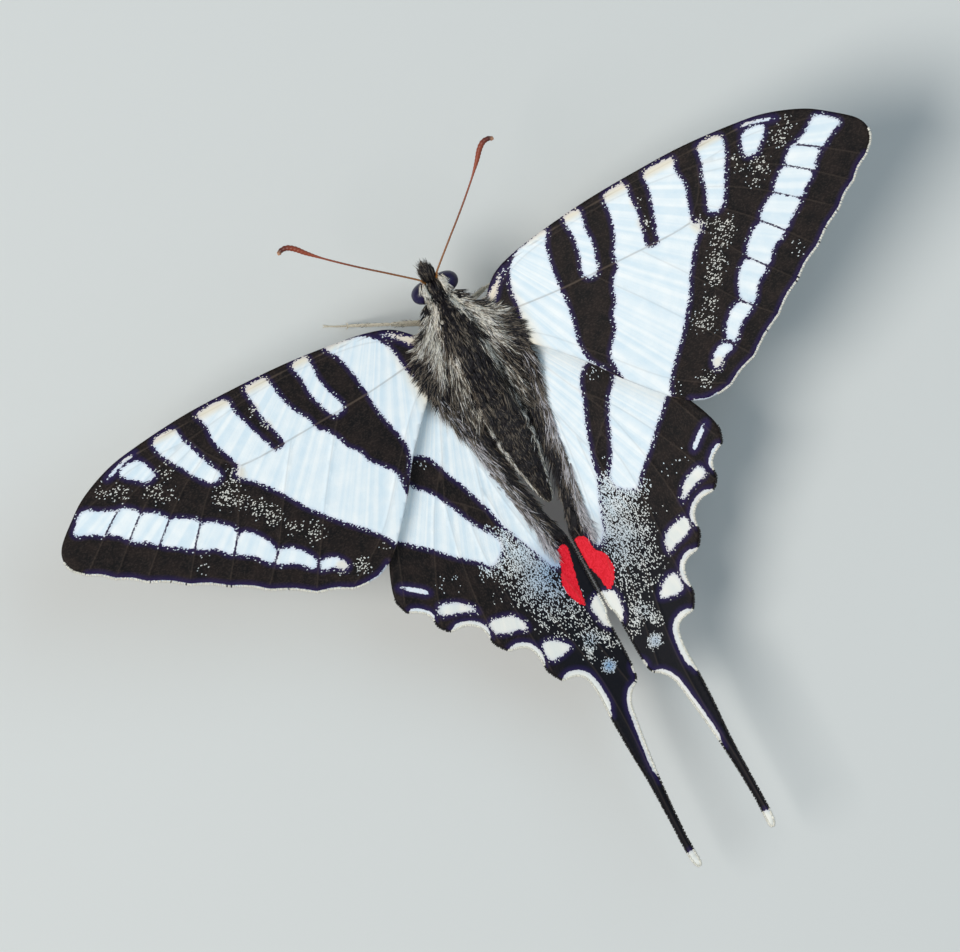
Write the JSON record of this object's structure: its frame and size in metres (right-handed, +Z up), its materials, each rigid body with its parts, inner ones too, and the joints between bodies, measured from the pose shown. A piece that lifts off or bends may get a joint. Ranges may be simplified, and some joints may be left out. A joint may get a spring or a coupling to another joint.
{
  "type": "zebra swallowtail butterfly",
  "caption": "Still life-size zebra swallowtail butterfly standing with its striped wings spread, long straight tails behind and clubbed feelers ahead.",
  "frame": {"origin": "centre of the butterfly's outline seen from above, at the level of the soles of its feet", "axes": "+Z up, -Y ahead in the direction of the head and feelers, +Y along the tails, +X to the animal's own left"},
  "size_m": [0.0804, 0.0658, 0.0163],
  "materials": {
    "wing_scales": "matt wing scales in pale blue-white and brown-black bands",
    "dark_hair": "long soft dark hair, cream at its edges",
    "abdomen_scales": "short dark scales with a cream line on each side",
    "eye_facets": "smooth glossy dark eye",
    "feeler_horn": "red-brown ringed horn, satin",
    "leg_cuticle": "tan leg skin with fine pale scales"
  },
  "bodies": {
    "root": {"head": "dark_hair", "thorax": "dark_hair", "abdomen": "abdomen_scales", "proboscis": "feeler_horn", "eye_left": "eye_facets", "palp_left": "dark_hair", "antenna_left": "feeler_horn", "forewing_left": "wing_scales", "hindwing_left": "wing_scales", "leg_fore_left": "leg_cuticle", "leg_mid_left": "leg_cuticle", "leg_hind_left": "leg_cuticle", "eye_right": "eye_facets", "palp_right": "dark_hair", "antenna_right": "feeler_horn", "forewing_right": "wing_scales", "hindwing_right": "wing_scales", "leg_fore_right": "leg_cuticle", "leg_mid_right": "leg_cuticle", "leg_hind_right": "leg_cuticle"}
  },
  "joints": []
}
